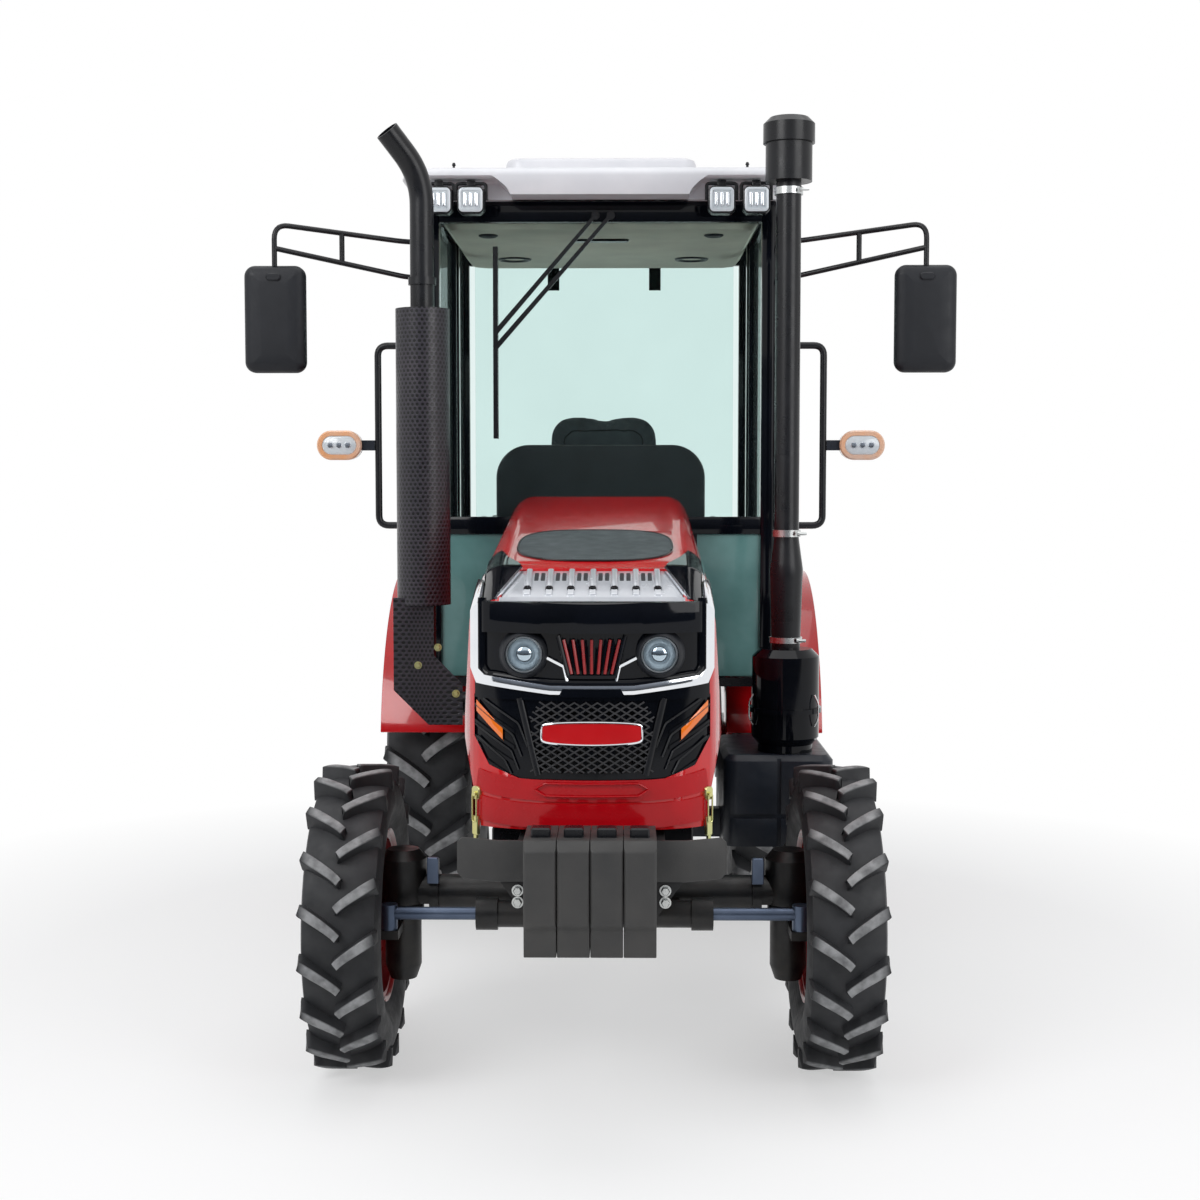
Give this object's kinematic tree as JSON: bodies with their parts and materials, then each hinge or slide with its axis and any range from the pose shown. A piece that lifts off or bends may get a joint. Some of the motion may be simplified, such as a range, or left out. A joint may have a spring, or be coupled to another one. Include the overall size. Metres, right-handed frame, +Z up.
{
  "type": "farm tractor",
  "caption": "Four-wheel-drive farm tractor with a glazed cab, lifting hood, swinging doors, steered front wheels and a rear three-point linkage for pulling and carrying implements.",
  "frame": {"origin": "on the ground, under the middle of the bounding box", "axes": "+Z up, the tractor faces -Y, its left side is +X"},
  "size_m": [2.381, 3.83, 2.83],
  "materials": {
    "red_paint": "gloss",
    "rim_red": "satin",
    "black_paint": "satin",
    "dark_cast": "satin",
    "chassis_grey": "satin",
    "steel": "satin",
    "tyre": "matte",
    "glass": "gloss",
    "roof_white": "gloss",
    "black_plastic": "matte",
    "gloss_black": "gloss",
    "chrome": "mirror",
    "lamp": "gloss",
    "amber": "gloss",
    "seat_fabric": "matte"
  },
  "bodies": {
    "chassis": {"engine_block": "dark_cast", "front_frame": "chassis_grey", "front_weights": "dark_cast", "bumper_plate": "dark_cast", "gearbox_housing": "chassis_grey", "rear_axle_housing": "chassis_grey", "front_axle_beam": "chassis_grey", "prop_shaft": "chassis_grey", "fuel_tank": "black_plastic", "air_cleaner": "black_paint", "intake_stack": "black_paint", "exhaust_guard": "black_paint", "exhaust_pipe": "black_paint", "cab_floor": "black_paint", "cab_frame": "black_paint", "cab_roof": "roof_white", "cab_glass": "glass", "fenders": "red_paint", "dashboard": "black_plastic", "steering_wheel": "black_plastic", "seat_base": "black_plastic", "seat_cushions": "seat_fabric", "cab_rails": "black_paint", "mirror_arms": "black_paint", "mirror_heads": "black_plastic", "work_lamps": "lamp", "marker_lamps": "amber", "step_left": "black_paint", "drawbar": "dark_cast", "lift_housing": "chassis_grey", "wiper": "black_paint"},
    "hood": {"hood_shell": "red_paint", "hood_grille": "gloss_black", "hood_lamp_panel": "gloss_black", "headlamps": "lamp", "hood_trim": "chrome", "hood_tray": "steel", "indicators": "amber", "grille_bar": "red_paint"},
    "left_door": {"door_left": "black_paint", "door_glass_left": "glass"},
    "right_door": {"door_right": "black_paint", "door_glass_right": "glass"},
    "back_window": {"rear_window": "glass", "rear_window_hinges": "black_paint"},
    "left_knuckle": {"knuckle_left": "chassis_grey"},
    "right_knuckle": {"knuckle_right": "chassis_grey"},
    "track_rod": {"steer_rod": "steel"},
    "front_left_wheel": {"front_rim_left": "rim_red", "front_tyre_left": "tyre"},
    "front_right_wheel": {"front_rim_right": "rim_red", "front_tyre_right": "tyre"},
    "rear_left_wheel": {"rear_rim_left": "rim_red", "rear_tyre_left": "tyre"},
    "rear_right_wheel": {"rear_rim_right": "rim_red", "rear_tyre_right": "tyre"},
    "hitch_links": {"lower_links": "dark_cast"},
    "hitch_arms": {"lift_arms": "dark_cast"},
    "hitch_rods": {"lift_rods": "steel"},
    "pto": {"pto_shaft": "steel"}
  },
  "joints": [
    {"name": "steer_left", "type": "hinge", "parent": "chassis", "child": "left_knuckle", "pos_m": [0.555, -1.035, 0.4325], "axis": [0, 0, 1], "range_deg": [-40, 40]},
    {"name": "steer_right", "type": "hinge", "parent": "chassis", "child": "right_knuckle", "pos_m": [-0.555, -1.035, 0.4325], "axis": [0, 0, 1], "range_deg": [-40, 40]},
    {"name": "front_wheel_left", "type": "hinge", "parent": "left_knuckle", "child": "front_left_wheel", "pos_m": [0.683, -1.035, 0.4325], "axis": [1, 0, 0], "continuous": true},
    {"name": "front_wheel_right", "type": "hinge", "parent": "right_knuckle", "child": "front_right_wheel", "pos_m": [-0.683, -1.035, 0.4325], "axis": [1, 0, 0], "continuous": true},
    {"name": "rear_wheel_left", "type": "hinge", "parent": "chassis", "child": "rear_left_wheel", "pos_m": [0.645, 0.965, 0.63], "axis": [1, 0, 0], "continuous": true},
    {"name": "rear_wheel_right", "type": "hinge", "parent": "chassis", "child": "rear_right_wheel", "pos_m": [-0.645, 0.965, 0.63], "axis": [1, 0, 0], "continuous": true},
    {"name": "track_rod_slide", "type": "slide", "parent": "chassis", "child": "track_rod", "axis": [1, 0, 0], "range_m": [-0.1122, 0.1122]},
    {"name": "hood_lift", "type": "hinge", "parent": "chassis", "child": "hood", "pos_m": [0, -0.065, 1.57], "axis": [-1, 0, 0], "range_deg": [0, 48]},
    {"name": "door_left_swing", "type": "hinge", "parent": "chassis", "child": "left_door", "pos_m": [0.6135, 0.799, 1.9], "axis": [0, 0, 1], "range_deg": [0, 72]},
    {"name": "door_right_swing", "type": "hinge", "parent": "chassis", "child": "right_door", "pos_m": [-0.6135, 0.799, 1.9], "axis": [0, 0, -1], "range_deg": [0, 72]},
    {"name": "rear_window_lift", "type": "hinge", "parent": "chassis", "child": "back_window", "pos_m": [0, 1.3085, 2.585], "axis": [1, 0, 0], "range_deg": [0, 60]},
    {"name": "hitch_lift", "type": "hinge", "parent": "chassis", "child": "hitch_links", "pos_m": [0, 1.165, 0.5], "axis": [1, 0, 0], "range_deg": [-12, 28]},
    {"name": "lift_arm_turn", "type": "hinge", "parent": "chassis", "child": "hitch_arms", "pos_m": [0, 1.295, 0.85], "axis": [1, 0, 0], "range_deg": [-19.1, 43.9]},
    {"name": "lift_rod_swing", "type": "hinge", "parent": "hitch_links", "child": "hitch_rods", "pos_m": [0, 1.555, 0.5], "axis": [1, 0, 0], "range_deg": [-28.5, 12.5]},
    {"name": "pto_spin", "type": "hinge", "parent": "chassis", "child": "pto", "pos_m": [0, 1.205, 0.62], "axis": [0, 1, 0], "continuous": true}
  ],
  "couplings": [
    {"joint": "steer_right", "follows": "steer_left", "ratio": 1},
    {"joint": "track_rod_slide", "follows": "steer_left", "m_per_rad": 0.16},
    {"joint": "lift_arm_turn", "follows": "hitch_lift", "ratio": 1.55},
    {"joint": "lift_rod_swing", "follows": "hitch_lift", "ratio": -1}
  ]
}
